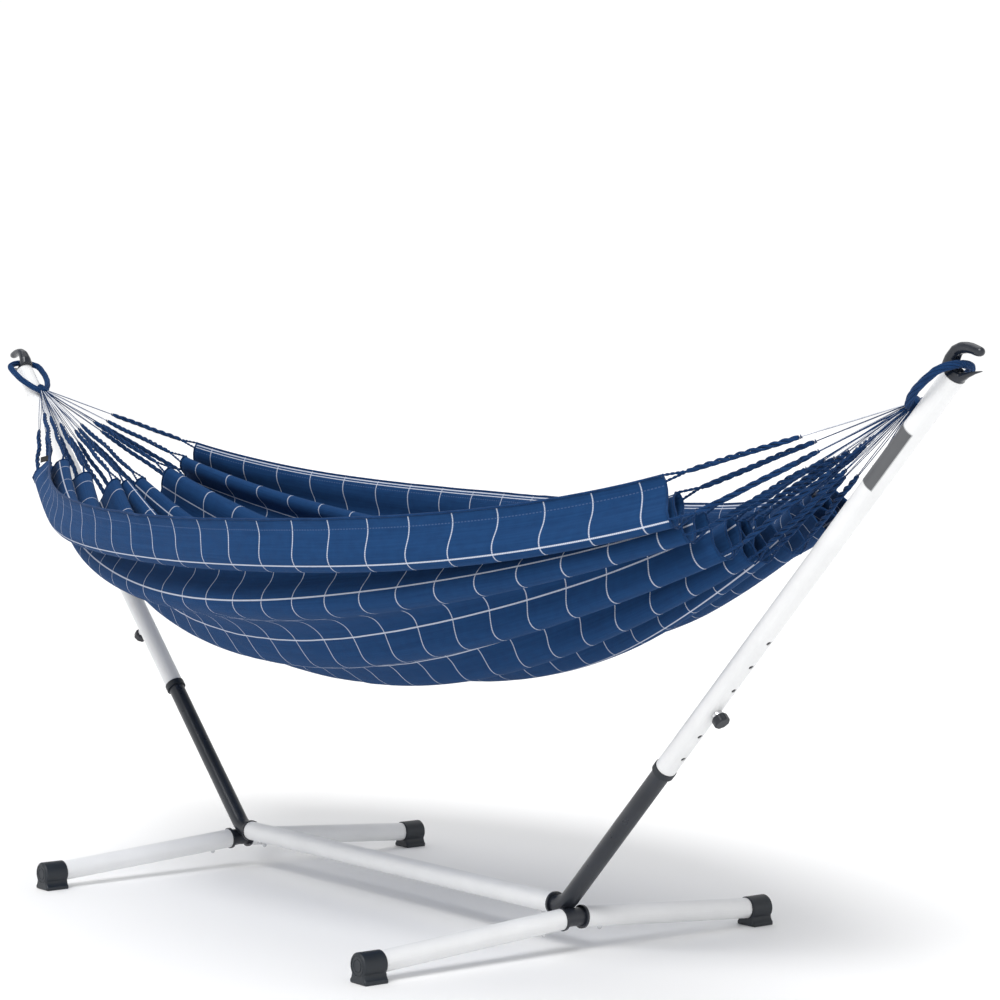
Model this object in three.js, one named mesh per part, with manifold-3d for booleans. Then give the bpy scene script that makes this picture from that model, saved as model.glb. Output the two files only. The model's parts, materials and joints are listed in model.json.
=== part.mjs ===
// A hammock hung on a free-standing tubular stand. Millimetres, +Z up, X along the hammock.
import * as THREE from 'three';
import { ConvexGeometry } from 'three/addons/geometries/ConvexGeometry.js';
import { mergeVertices } from 'three/addons/utils/BufferGeometryUtils.js';
import Module from 'manifold-3d';

const wasm = await Module();
wasm.setup();
const { Manifold } = wasm;

// Clearances, and how far a cut runs past the wall that it cuts
const GAP = 0.3;
const SLIDE_GAP = 0.8;
const CUT_PAST = 5;

// Sides of round shapes
const TUBE_SIDES = 28;
const PLUG_SIDES = 32;
const PIN_SIDES = 16;
const BALL_SIDES = 12;
const SIMPLIFY_TOLERANCE = 0.02;

// White outer tubes and the dark tubes that fit inside them
const OUTER_R = 20;
const OUTER_BORE_R = 18.3;
const INNER_R = OUTER_BORE_R - SLIDE_GAP;
const INNER_BORE_R = 15.5;
const FLANGE_R = 22.3;
const FLANGE_THICK = 5;

// Base
const BASE_Z = 85;
const BASE_HALF = 536;
const BASE_SPIGOT = 120;
const BEND_R = 60;

// Arms: distances run along the arm from the point ARM_START
const ARM_ANGLE = THREE.MathUtils.degToRad(44.86);
const ARM_START = new THREE.Vector3(561.8, 0, 78.5);
const UPPER_START = 423;
const UPPER_END = 1422;
const INNER_END = 860;
const COLLAR_LENGTH = 13;
const COLLAR_PROUD = 1.6;
const HOLE_COUNT = 6;
const HOLE_PITCH = 63.4;
const FIRST_HOLE = 48;
const KNOB_HOLE = 2;
const HOLE_R = 4.8;

// Locking knob
const STUD_R = 3.8;
const NECK_R = 10.5;
const NECK_LENGTH = 6;
const KNOB_R = 15;
const KNOB_THICK = 16;
const KNOB_LOBES = 8;
const KNOB_RIM = 2.5;
const KNOB_FLUTE = 0.9;
const STUD_CLEARANCE = 0.4;
const STUD_IN_HEAD = 2;

// Feet: distances run along the foot from the middle of the cross tube
const FOOT_X = 589;
const FOOT_Z = 65.9;
const FOOT_DROOP = THREE.MathUtils.degToRad(4.1);
const FOOT_START = 26;
const FOOT_END = 475;
const STUB_END = 150;
const CAP_START = 432;
const CAP_END = 484;
const CAP_R = 24;
const CAP_CENTRE_Z = 33;
const CAP_SOLE_HALF = 25;
const CAP_WAIST_HALF = 19;
const CAP_SOLE_Z = 7;
const CAP_RIM = 2.5;
const GROOVE_OUTER_R = 18.4;
const GROOVE_INNER_R = 17;
const GROOVE_DEPTH = 1;
const BUTTON_FOOT = 68;
const BUTTON_BASE_X = 502;
const BUTTON_R = 4.6;
const BUTTON_HOLE_R = 5;
const BUTTON_PROUD = 6;
const BUTTON_STEM_START = INNER_BORE_R - 6;
const BUTTON_SEAT_START = INNER_BORE_R - 4;
const BUTTON_SEAT_END = INNER_BORE_R - 2;
const BUTTON_SEAT_R = BUTTON_R + 2;

// Hooks: the throat holds the hammock's end ring
const THROAT = new THREE.Vector3(1589, 0, 1101.5);
const THROAT_R = 14.5;
const THROAT_REACH = 60;
const HOOK_PLUG_R = 17.9;
const HOOK_PLUG_LENGTH = 45;
const HOOK_BASE_R = 20.6;
const HOOK_BASE_TOP_R = 13;
const HOOK_BASE_END = 1434;
const HOOK_CLEAR_R = 50;
const HOOK_CLEAR_LENGTH = 100;
const HORN_FLAT = 1.05;
const LIP_FLAT = 1.15;

// Hammock
const CORD_ANGLE = THREE.MathUtils.degToRad(31);
const RING_SECTION_R = 7.5;
const RING_BOW_ALONG = 25;
const RING_BOW_ACROSS = 39;
const RING_LENGTH = 132;
const RING_NECK_HALF = 4;
const RING_TAPER_POWER = 2.6;
const RING_SEAT = 4.6;
const NECK_BIND_R = 9;
const NECK_BIND_LENGTH = 15;
const KNOT_R = 8;
const CORD_REACH = 590;
const CORD_R = 2.2;
const CORD_COUNT = 17;
const FABRIC_THICK = 2.4;
const FABRIC_INSET = 18;
const CORD_OFF_CLOTH = 1.2;
const CORD_PAST_EDGE = 10;
const END_SPREAD = THREE.MathUtils.degToRad(46);
const MID_SPREAD = THREE.MathUtils.degToRad(63);
const SPREAD_POWER = 2.4;

const paint = (name, colour, roughness, metalness) =>
  new THREE.MeshStandardMaterial({ name, color: colour, roughness, metalness });
const materials = {
  whitePaint: paint('white_paint', 0xf2f2f0, 0.35, 0.0),
  darkPaint: paint('dark_paint', 0x2e343c, 0.4, 0.1),
  capPlastic: paint('cap_plastic', 0x2b3036, 0.6, 0.0),
  hookMetal: paint('hook_metal', 0x262c36, 0.35, 0.3),
  knobPlastic: paint('knob_plastic', 0x33363c, 0.5, 0.0),
  steel: paint('steel', 0xb9bcc0, 0.25, 1.0),
  fabric: paint('fabric', 0x16386f, 0.85, 0.0),
  cord: paint('cord', 0x14305f, 0.85, 0.0),
};

const stand = new THREE.Group();
stand.name = 'hammock_on_stand';

function addMesh(name, solid, material) {
  const mesh = new THREE.Mesh(solid, material);
  mesh.name = name;
  stand.add(mesh);
}

// ---- Solids -------------------------------------------------------------------------------

function toManifold(geometry) {
  const bare = geometry.clone();
  bare.deleteAttribute('normal');
  bare.deleteAttribute('uv');
  const merged = mergeVertices(bare, 1e-4);
  const vertProperties = new Float32Array(merged.attributes.position.array);
  const triVerts = new Uint32Array(merged.index.array);
  return new Manifold(new wasm.Mesh({ numProp: 3, vertProperties, triVerts }));
}

function toGeometry(solid) {
  const mesh = solid.simplify(SIMPLIFY_TOLERANCE).getMesh();
  const geometry = new THREE.BufferGeometry();
  geometry.setAttribute('position', new THREE.BufferAttribute(mesh.vertProperties, 3));
  geometry.setIndex(new THREE.BufferAttribute(mesh.triVerts, 1));
  return geometry;
}

// Skin of a grid of points: rows of rings that close on themselves
function skinRings(rings) {
  const sides = rings[0].length;
  const positions = rings.flat().flatMap((p) => [p.x, p.y, p.z]);
  const indices = [];
  for (let i = 0; i + 1 < rings.length; i += 1) {
    for (let j = 0; j < sides; j += 1) {
      const a = i * sides + j;
      const b = i * sides + ((j + 1) % sides);
      indices.push(a, b, b + sides, a, b + sides, a + sides);
    }
  }
  return { positions, indices, sides };
}

// Ring of points round one station of a path
function ringAt(centre, tangent, side, radius, sides) {
  const across = new THREE.Vector3().crossVectors(tangent, side).normalize();
  const ring = [];
  for (let j = 0; j < sides; j += 1) {
    const turn = (2 * Math.PI * j) / sides;
    const point = centre.clone();
    point.addScaledVector(side, radius * Math.cos(turn));
    point.addScaledVector(across, radius * Math.sin(turn));
    ring.push(point);
  }
  return ring;
}

function pathTangents(points) {
  return points.map((_, i) => {
    const before = points[Math.max(i - 1, 0)];
    const after = points[Math.min(i + 1, points.length - 1)];
    return after.clone().sub(before).normalize();
  });
}

// A solid rod along a flat path; side is the unit vector across the path's plane
function rod(points, radius, side, sides = TUBE_SIDES) {
  const tangents = pathTangents(points);
  const rings = points.map((p, i) => ringAt(p, tangents[i], side, radius, sides));
  const { positions, indices } = skinRings(rings);
  const first = positions.length / 3;
  const last = first + 1;
  const end = points[points.length - 1];
  positions.push(points[0].x, points[0].y, points[0].z, end.x, end.y, end.z);
  const lastRing = (points.length - 1) * sides;
  for (let j = 0; j < sides; j += 1) {
    const next = (j + 1) % sides;
    indices.push(first, next, j);
    indices.push(last, lastRing + j, lastRing + next);
  }
  const geometry = new THREE.BufferGeometry();
  geometry.setAttribute('position', new THREE.Float32BufferAttribute(positions, 3));
  geometry.setIndex(indices);
  const solid = toManifold(geometry);
  return solid.volume() > 0 ? solid : toManifold(flipped(geometry));
}

function flipped(geometry) {
  const copy = geometry.clone();
  const index = copy.index.array;
  for (let i = 0; i < index.length; i += 3) {
    [index[i], index[i + 1]] = [index[i + 1], index[i]];
  }
  return copy;
}

// A hollow tube, open at both ends
function tube(points, outer, bore, side) {
  const extended = points.map((p) => p.clone());
  const tangents = pathTangents(points);
  extended[0].addScaledVector(tangents[0], -1);
  extended[points.length - 1].addScaledVector(tangents[points.length - 1], 1);
  return rod(points, outer, side).subtract(rod(extended, bore, side));
}

// A flat disc with a hole, from one distance to another along a line
function washer(start, end, outer, bore, side) {
  return tube([start, end], outer, bore, side);
}

function pin(start, end, radius, side, sides = PIN_SIDES) {
  return rod([start, end], radius, side, sides);
}

function cone(start, end, startRadius, endRadius) {
  const length = start.distanceTo(end);
  const geometry = new THREE.CylinderGeometry(endRadius, startRadius, length, PLUG_SIDES);
  const along = end.clone().sub(start).normalize();
  geometry.applyQuaternion(new THREE.Quaternion().setFromUnitVectors(Y_AXIS, along));
  const middle = start.clone().add(end).divideScalar(2);
  geometry.translate(middle.x, middle.y, middle.z);
  return toManifold(geometry);
}

function ball(centre, radius, flat = 1, sides = BALL_SIDES) {
  const geometry = new THREE.SphereGeometry(radius, sides, sides / 2);
  geometry.scale(1, flat, 1);
  return geometry.translate(centre.x, centre.y, centre.z);
}

// The body stretched tightly over some geometries
function skinOver(geometries) {
  const points = [];
  for (const geometry of geometries) {
    const { position } = mergeVertices(geometry, 1e-4).attributes;
    for (let i = 0; i < position.count; i += 1) {
      points.push(new THREE.Vector3().fromBufferAttribute(position, i));
    }
  }
  return toManifold(new ConvexGeometry(points));
}

// A rounded body through balls of given radius, with a skin over each ball and the next
function ballChain(balls, flat) {
  const geometries = balls.map(([centre, radius]) => ball(centre, radius, flat));
  const links = [];
  for (let i = 0; i + 1 < geometries.length; i += 1) {
    links.push(skinOver([geometries[i], geometries[i + 1]]));
  }
  return Manifold.union(links);
}

const X_AXIS = new THREE.Vector3(1, 0, 0);
const Y_AXIS = new THREE.Vector3(0, 1, 0);
const ENDS = [{ end: 'left', sign: -1 }, { end: 'right', sign: 1 }];
const SIDES = [{ side: 'front', ySign: -1 }, { side: 'back', ySign: 1 }];

// Points along the right-hand arm, and across it towards its underside
const armAxis = new THREE.Vector3(Math.cos(ARM_ANGLE), 0, Math.sin(ARM_ANGLE));
const armUnder = new THREE.Vector3(Math.sin(ARM_ANGLE), 0, -Math.cos(ARM_ANGLE));
function armPoint(distance, under = 0) {
  return ARM_START.clone().addScaledVector(armAxis, distance).addScaledVector(armUnder, under);
}

// Everything is drawn for the right-hand end and mirrored for the left
function forEnd(solid, sign) {
  return sign > 0 ? solid : solid.mirror([1, 0, 0]);
}

// ---- Base and lower arms ------------------------------------------------------------------

// Where the arm's line meets the base tube's axis
const bendCorner = armPoint((BASE_Z - ARM_START.z) / Math.sin(ARM_ANGLE));
const bendStartX = bendCorner.x - BEND_R * Math.tan(ARM_ANGLE / 2);

function lowerArmPath() {
  const points = [new THREE.Vector3(BASE_HALF - BASE_SPIGOT, 0, BASE_Z)];
  const steps = 6;
  for (let i = 0; i <= steps; i += 1) {
    const turn = (ARM_ANGLE * i) / steps;
    const x = bendStartX + BEND_R * Math.sin(turn);
    const z = BASE_Z + BEND_R * (1 - Math.cos(turn));
    points.push(new THREE.Vector3(x, 0, z));
  }
  points.push(armPoint(INNER_END));
  return points;
}

function buttonHole(centre, direction, side) {
  const end = centre.clone().addScaledVector(direction, OUTER_R + CUT_PAST);
  return pin(centre, end, BUTTON_HOLE_R, side);
}

const DOWN = new THREE.Vector3(0, 0, -1);
const knobDistance = UPPER_START + FIRST_HOLE + KNOB_HOLE * HOLE_PITCH;
const baseButton = new THREE.Vector3(BUTTON_BASE_X, 0, BASE_Z);

const lowerArm = tube(lowerArmPath(), INNER_R, INNER_BORE_R, Y_AXIS)
  .subtract(pin(armPoint(knobDistance), armPoint(knobDistance, OUTER_R), HOLE_R, Y_AXIS))
  .subtract(buttonHole(baseButton, DOWN, Y_AXIS));

const baseEnds = [new THREE.Vector3(-BASE_HALF, 0, BASE_Z), new THREE.Vector3(BASE_HALF, 0, BASE_Z)];
const baseTube = tube(baseEnds, OUTER_R, OUTER_BORE_R, Y_AXIS)
  .subtract(buttonHole(baseButton, DOWN, Y_AXIS))
  .subtract(buttonHole(baseButton, DOWN, Y_AXIS).mirror([1, 0, 0]));
addMesh('base_tube', toGeometry(baseTube), materials.whitePaint);

const baseFlangeStart = new THREE.Vector3(BASE_HALF + GAP, 0, BASE_Z);
const baseFlangeEnd = new THREE.Vector3(BASE_HALF + GAP + FLANGE_THICK, 0, BASE_Z);
const baseFlange = washer(baseFlangeStart, baseFlangeEnd, FLANGE_R, INNER_R + GAP, Y_AXIS);

// ---- Feet -----------------------------------------------------------------------------------

function footPoint(distance, ySign) {
  const y = ySign * distance * Math.cos(FOOT_DROOP);
  const z = FOOT_Z - distance * Math.sin(FOOT_DROOP);
  return new THREE.Vector3(FOOT_X, y, z);
}

function footDown(ySign) {
  return new THREE.Vector3(0, -ySign * Math.sin(FOOT_DROOP), -Math.cos(FOOT_DROOP));
}

function crossTube() {
  const path = [footPoint(STUB_END, -1), footPoint(0, 1), footPoint(STUB_END, 1)];
  const armClearance = rod(lowerArmPath(), INNER_R + GAP, Y_AXIS);
  let solid = tube(path, INNER_R, INNER_BORE_R, X_AXIS).subtract(armClearance);
  for (const { ySign } of SIDES) {
    solid = solid.subtract(buttonHole(footPoint(BUTTON_FOOT, ySign), footDown(ySign), X_AXIS));
  }
  return solid;
}

function footTube(ySign) {
  const path = [footPoint(FOOT_START, ySign), footPoint(FOOT_END, ySign)];
  return tube(path, OUTER_R, OUTER_BORE_R, X_AXIS)
    .subtract(buttonHole(footPoint(BUTTON_FOOT, ySign), footDown(ySign), X_AXIS));
}

function footFlange(ySign) {
  const start = footPoint(FOOT_START - GAP - FLANGE_THICK, ySign);
  return washer(start, footPoint(FOOT_START - GAP, ySign), FLANGE_R, INNER_R + GAP, X_AXIS);
}

// Round cap with a flared flat sole, seen along the foot
function capOutline() {
  const shape = new THREE.Shape();
  const waistAngle = Math.asin(CAP_WAIST_HALF / CAP_R);
  const waistY = CAP_CENTRE_Z - CAP_R * Math.cos(waistAngle);
  shape.moveTo(-CAP_SOLE_HALF, 0);
  shape.lineTo(CAP_SOLE_HALF, 0);
  shape.lineTo(CAP_SOLE_HALF, CAP_SOLE_Z);
  shape.quadraticCurveTo(CAP_WAIST_HALF + 1, waistY * 0.6, CAP_WAIST_HALF, waistY);
  shape.absarc(0, CAP_CENTRE_Z, CAP_R, -Math.PI / 2 + waistAngle, 1.5 * Math.PI - waistAngle, false);
  shape.quadraticCurveTo(-CAP_WAIST_HALF - 1, waistY * 0.6, -CAP_SOLE_HALF, CAP_SOLE_Z);
  shape.lineTo(-CAP_SOLE_HALF, 0);
  return shape;
}

function footCap(ySign) {
  const options = {
    depth: CAP_END - CAP_START - 2 * CAP_RIM,
    curveSegments: 12,
    bevelEnabled: true,
    bevelThickness: CAP_RIM,
    bevelSize: CAP_RIM,
    bevelOffset: -CAP_RIM,
    bevelSegments: 1,
  };
  const block = new THREE.ExtrudeGeometry(capOutline(), options);
  block.rotateX(Math.PI / 2);
  block.translate(FOOT_X, CAP_END - CAP_RIM, 0);
  const grooveStart = new THREE.Vector3(FOOT_X, CAP_END - GROOVE_DEPTH, CAP_CENTRE_Z);
  const grooveEnd = new THREE.Vector3(FOOT_X, CAP_END + CUT_PAST, CAP_CENTRE_Z);
  const groove = washer(grooveStart, grooveEnd, GROOVE_OUTER_R, GROOVE_INNER_R, X_AXIS);
  const pocketStart = footPoint(CAP_START - CAP_R, 1);
  const pocketEnd = footPoint(FOOT_END + GAP, 1);
  const pocket = pin(pocketStart, pocketEnd, OUTER_R + GAP, X_AXIS, PLUG_SIDES);
  const solid = toManifold(block).subtract(groove).subtract(pocket);
  return ySign > 0 ? solid : solid.mirror([0, 1, 0]);
}

// Domed snap button standing in its hole, on a wider foot inside the tube
function snapButton(centre, direction, side) {
  const at = (distance) => centre.clone().addScaledVector(direction, distance);
  const domeCentre = OUTER_R + BUTTON_PROUD - BUTTON_R;
  const stem = pin(at(BUTTON_STEM_START), at(domeCentre), BUTTON_R, side);
  const dome = toManifold(ball(at(domeCentre), BUTTON_R));
  const seat = pin(at(BUTTON_SEAT_START), at(BUTTON_SEAT_END), BUTTON_SEAT_R, side);
  return stem.add(dome).add(seat);
}

// ---- Upper arms -----------------------------------------------------------------------------

function upperTube() {
  let solid = tube([armPoint(UPPER_START), armPoint(UPPER_END)], OUTER_R, OUTER_BORE_R, Y_AXIS);
  for (let i = 0; i < HOLE_COUNT; i += 1) {
    const distance = UPPER_START + FIRST_HOLE + i * HOLE_PITCH;
    const hole = pin(armPoint(distance), armPoint(distance, OUTER_R + CUT_PAST), HOLE_R, Y_AXIS);
    solid = solid.subtract(hole);
  }
  return solid;
}

function guideCollar() {
  const start = armPoint(UPPER_START - GAP - COLLAR_LENGTH);
  return washer(start, armPoint(UPPER_START - GAP), OUTER_R + COLLAR_PROUD, INNER_R + GAP, Y_AXIS);
}

function hook() {
  const plugStart = armPoint(UPPER_END - HOOK_PLUG_LENGTH);
  const plugEnd = armPoint((UPPER_END + HOOK_BASE_END) / 2);
  const plug = pin(plugStart, plugEnd, HOOK_PLUG_R, Y_AXIS, PLUG_SIDES);
  const base = cone(armPoint(UPPER_END + GAP), armPoint(HOOK_BASE_END), HOOK_BASE_R, HOOK_BASE_TOP_R);
  const at = (dx, dz) => THROAT.clone().add(new THREE.Vector3(dx, 0, dz));
  const horn = ballChain([
    [at(-27, -21), 19],
    [at(-27.5, -8), 16],
    [at(-23.5, 7), 13],
    [at(-15, 18.4), 11],
    [at(-4, 23.4), 10],
    [at(9, 24), 9.4],
    [at(20, 22.4), 9.2],
    [at(31, 18.6), 9],
    [at(37, 17.2), 8],
  ], HORN_FLAT);
  const lip = ballChain([
    [at(-22, -27), 11.5],
    [at(-8, -24.5), 8.5],
    [at(8, -20), 5.2],
    [at(26, -16), 2.6],
    [at(42, -13.6), 1.1],
  ], LIP_FLAT);
  const throatSide = new THREE.Vector3(0, THROAT_REACH, 0);
  const throatStart = THROAT.clone().sub(throatSide);
  const throatEnd = THROAT.clone().add(throatSide);
  const throat = pin(throatStart, throatEnd, THROAT_R, X_AXIS, PLUG_SIDES);
  const clearStart = armPoint(UPPER_END - HOOK_CLEAR_LENGTH);
  const tubeEnd = pin(clearStart, armPoint(UPPER_END + GAP), HOOK_CLEAR_R, Y_AXIS, PLUG_SIDES);
  return base.add(horn.add(lip).subtract(tubeEnd)).add(plug).subtract(throat);
}

function knobHead() {
  const inside = OUTER_R + GAP + NECK_LENGTH;
  const start = armPoint(knobDistance, inside + GAP);
  const profile = new THREE.Shape();
  const steps = KNOB_LOBES * 6;
  for (let i = 0; i < steps; i += 1) {
    const turn = (2 * Math.PI * i) / steps;
    const flute = KNOB_FLUTE * (1 - Math.cos(KNOB_LOBES * turn)) / 2;
    const radius = KNOB_R - KNOB_RIM - flute;
    const x = radius * Math.cos(turn);
    const y = radius * Math.sin(turn);
    if (i === 0) profile.moveTo(x, y);
    else profile.lineTo(x, y);
  }
  const options = {
    depth: KNOB_THICK - 2 * KNOB_RIM,
    curveSegments: 1,
    bevelEnabled: true,
    bevelThickness: KNOB_RIM,
    bevelSize: KNOB_RIM,
    bevelSegments: 2,
  };
  const geometry = new THREE.ExtrudeGeometry(profile, options);
  geometry.translate(0, 0, KNOB_RIM);
  const turnToArm = new THREE.Quaternion().setFromUnitVectors(new THREE.Vector3(0, 0, 1), armUnder);
  geometry.applyQuaternion(turnToArm);
  geometry.translate(start.x, start.y, start.z);
  return toManifold(geometry);
}

function knobStud() {
  const inner = armPoint(knobDistance, INNER_R + STUD_CLEARANCE);
  const outer = armPoint(knobDistance, OUTER_R + STUD_IN_HEAD);
  const neckStart = armPoint(knobDistance, OUTER_R + GAP);
  const neckEnd = armPoint(knobDistance, OUTER_R + GAP + NECK_LENGTH);
  return pin(inner, outer, STUD_R, Y_AXIS).add(pin(neckStart, neckEnd, NECK_R, Y_AXIS, TUBE_SIDES));
}

// ---- Hammock --------------------------------------------------------------------------------

// The ring sits against the throat's inboard wall; the hammock swings about a line along X here
const cordDirection = new THREE.Vector3(-Math.cos(CORD_ANGLE), 0, -Math.sin(CORD_ANGLE));
const ringSeat = THROAT.clone().addScaledVector(cordDirection, RING_SEAT);
const ringNormal = new THREE.Vector3().crossVectors(cordDirection, Y_AXIS).normalize();

function ringPoint(along, across) {
  return ringSeat.clone().addScaledVector(cordDirection, along).addScaledVector(Y_AXIS, across);
}

function endRing() {
  const bow = [];
  const bowSteps = 8;
  for (let i = 0; i <= bowSteps; i += 1) {
    const turn = (Math.PI * i) / (2 * bowSteps);
    bow.push([RING_BOW_ALONG * (1 - Math.cos(turn)), RING_BOW_ACROSS * Math.sin(turn)]);
  }
  const legSteps = 8;
  for (let i = 1; i <= legSteps; i += 1) {
    const t = i / legSteps;
    const along = RING_BOW_ALONG + (RING_LENGTH - RING_BOW_ALONG) * t;
    const across = RING_BOW_ACROSS + (RING_NECK_HALF - RING_BOW_ACROSS) * t ** RING_TAPER_POWER;
    bow.push([along, across]);
  }
  const near = bow.slice(1).reverse().map(([along, across]) => ringPoint(along, -across));
  const far = bow.map(([along, across]) => ringPoint(along, across));
  const loop = rod([...near, ...far], RING_SECTION_R, ringNormal, 12);
  const bindStart = ringPoint(RING_LENGTH - NECK_BIND_LENGTH, 0);
  const bindEnd = ringPoint(RING_LENGTH, 0);
  const bind = pin(bindStart, bindEnd, NECK_BIND_R, Y_AXIS, TUBE_SIDES);
  const trim = pin(bindEnd, ringPoint(RING_LENGTH + RING_BOW_ACROSS, 0), RING_BOW_ACROSS, Y_AXIS);
  return loop.add(bind).subtract(trim);
}

// The trough keeps one distance from the swing line at each place along the hammock
const fabricEndX = ringSeat.x - CORD_REACH * Math.cos(CORD_ANGLE);
const fabricEndDrop = CORD_REACH * Math.sin(CORD_ANGLE);

function troughDrop(x) {
  const reach = x / fabricEndX;
  const endSlope = Math.tan(CORD_ANGLE);
  return fabricEndDrop + 0.5 * endSlope * fabricEndX * (1 - reach * reach);
}

function troughSpread(x) {
  const reach = Math.abs(x / fabricEndX);
  return MID_SPREAD + (END_SPREAD - MID_SPREAD) * reach ** SPREAD_POWER;
}

function troughPoint(x, angle, radiusOffset) {
  const radius = troughDrop(x) - FABRIC_INSET + radiusOffset;
  return new THREE.Vector3(x, radius * Math.sin(angle), ringSeat.z - radius * Math.cos(angle));
}

function fabricTrough() {
  const stations = 26;
  const across = 16;
  const rings = [];
  for (let i = 0; i <= stations; i += 1) {
    const x = fabricEndX * (1 - (2 * i) / stations);
    const ring = [];
    for (const offset of [-FABRIC_THICK / 2, FABRIC_THICK / 2]) {
      for (let j = 0; j <= across; j += 1) {
        const share = offset < 0 ? j / across : 1 - j / across;
        ring.push(troughPoint(x, (2 * share - 1) * troughSpread(x), offset));
      }
    }
    rings.push(ring);
  }
  const { positions, indices, sides } = skinRings(rings);
  const lastRing = stations * sides;
  for (let j = 0; j < across; j += 1) {
    const opposite = sides - 1 - j;
    indices.push(j, opposite, j + 1, opposite, opposite - 1, j + 1);
    indices.push(lastRing + j, lastRing + j + 1, lastRing + opposite);
    indices.push(lastRing + opposite, lastRing + j + 1, lastRing + opposite - 1);
  }
  const geometry = new THREE.BufferGeometry();
  geometry.setAttribute('position', new THREE.Float32BufferAttribute(positions, 3));
  geometry.setIndex(indices);
  const solid = toManifold(geometry);
  return solid.volume() > 0 ? solid : toManifold(flipped(geometry));
}

function cordFan() {
  const knot = ringPoint(RING_LENGTH + GAP + KNOT_R, 0);
  let fan = toManifold(ball(knot, KNOT_R));
  const endX = fabricEndX - CORD_PAST_EDGE;
  for (let i = 0; i < CORD_COUNT; i += 1) {
    const angle = troughSpread(endX) * ((2 * i) / (CORD_COUNT - 1) - 1);
    const end = troughPoint(endX, angle, -FABRIC_THICK / 2 - CORD_R - CORD_OFF_CLOTH);
    const along = end.clone().sub(knot).normalize();
    const side = new THREE.Vector3().crossVectors(along, X_AXIS).normalize();
    fan = fan.add(pin(knot, end, CORD_R, side, 8));
  }
  return fan;
}

// ---- The object -----------------------------------------------------------------------------

const solids = {
  lower_arm: [lowerArm, materials.darkPaint],
  base_flange: [baseFlange, materials.darkPaint],
  cross_tube: [crossTube(), materials.darkPaint],
  upper_tube: [upperTube(), materials.whitePaint],
  guide_collar: [guideCollar(), materials.capPlastic],
  hook: [hook(), materials.hookMetal],
  knob_head: [knobHead(), materials.knobPlastic],
  knob_stud: [knobStud(), materials.steel],
  snap_button_base: [snapButton(baseButton, DOWN, Y_AXIS), materials.steel],
  end_ring: [endRing(), materials.cord],
  cord_fan: [cordFan(), materials.cord],
};
for (const { side, ySign } of SIDES) {
  const footButton = snapButton(footPoint(BUTTON_FOOT, ySign), footDown(ySign), X_AXIS);
  solids[`foot_tube_${side}`] = [footTube(ySign), materials.whitePaint];
  solids[`foot_flange_${side}`] = [footFlange(ySign), materials.darkPaint];
  solids[`foot_cap_${side}`] = [footCap(ySign), materials.capPlastic];
  solids[`snap_button_${side}`] = [footButton, materials.steel];
}

for (const [name, [solid, material]] of Object.entries(solids)) {
  for (const { end, sign } of ENDS) {
    addMesh(`${name}_${end}`, toGeometry(forEnd(solid, sign)), material);
  }
}
addMesh('hammock_fabric', toGeometry(fabricTrough()), materials.fabric);

export default stand;
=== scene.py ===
"""Looks for the hammock on its stand: materials, cloth, cords, rings, castings, light and camera."""
import json
import math

import bpy
import numpy as np
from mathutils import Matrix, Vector


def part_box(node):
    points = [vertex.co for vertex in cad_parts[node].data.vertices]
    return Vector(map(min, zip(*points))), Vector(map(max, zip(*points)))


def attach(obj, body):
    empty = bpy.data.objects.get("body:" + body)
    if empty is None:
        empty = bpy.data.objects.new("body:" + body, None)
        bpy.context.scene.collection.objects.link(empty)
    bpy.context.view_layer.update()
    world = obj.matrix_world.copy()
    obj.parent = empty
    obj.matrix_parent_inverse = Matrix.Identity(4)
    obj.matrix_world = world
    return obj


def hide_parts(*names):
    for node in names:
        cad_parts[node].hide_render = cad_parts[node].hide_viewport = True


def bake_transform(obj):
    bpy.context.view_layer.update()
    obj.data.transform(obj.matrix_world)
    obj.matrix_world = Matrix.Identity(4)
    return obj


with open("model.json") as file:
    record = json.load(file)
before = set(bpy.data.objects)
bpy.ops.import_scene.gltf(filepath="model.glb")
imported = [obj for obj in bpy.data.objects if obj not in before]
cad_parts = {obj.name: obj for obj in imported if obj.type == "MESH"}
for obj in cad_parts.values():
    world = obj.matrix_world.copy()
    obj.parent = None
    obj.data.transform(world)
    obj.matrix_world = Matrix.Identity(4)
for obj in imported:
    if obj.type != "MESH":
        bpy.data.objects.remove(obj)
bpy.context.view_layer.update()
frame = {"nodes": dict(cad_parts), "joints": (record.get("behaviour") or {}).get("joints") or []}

NODES = frame["nodes"]
JOINTS = {joint["name"]: joint for joint in frame["joints"]}
ENDS = (("left", -1), ("right", 1))

# ---- Sizes, in metres -------------------------------------------------------------------

# End rings
CORD_ANGLE = math.radians(31)      # the lowest cord, below level
RING_LENGTH = 0.132                # hook to neck
RING_BOW_ALONG = 0.025
RING_BOW_ACROSS = 0.039
RING_NECK_HALF = 0.004
RING_TAPER_POWER = 2.6
RING_CORE_R = 0.0042
RING_STRANDS = 7
RING_STRAND_R = 0.0024
RING_HELIX_R = 0.0048
RING_TURNS = 1.6
NECK_BIND_LENGTH = 0.020
NECK_BIND_PAST = 0.004
NECK_BIND_R = 0.0080
WHIPPING_R = 0.0081                # the middle of the yarn that is wound round the binding
NECK_BIND_TURNS = 10
NECK_BIND_STEPS = 140
BIND_YARN_R = 0.0012

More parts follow.
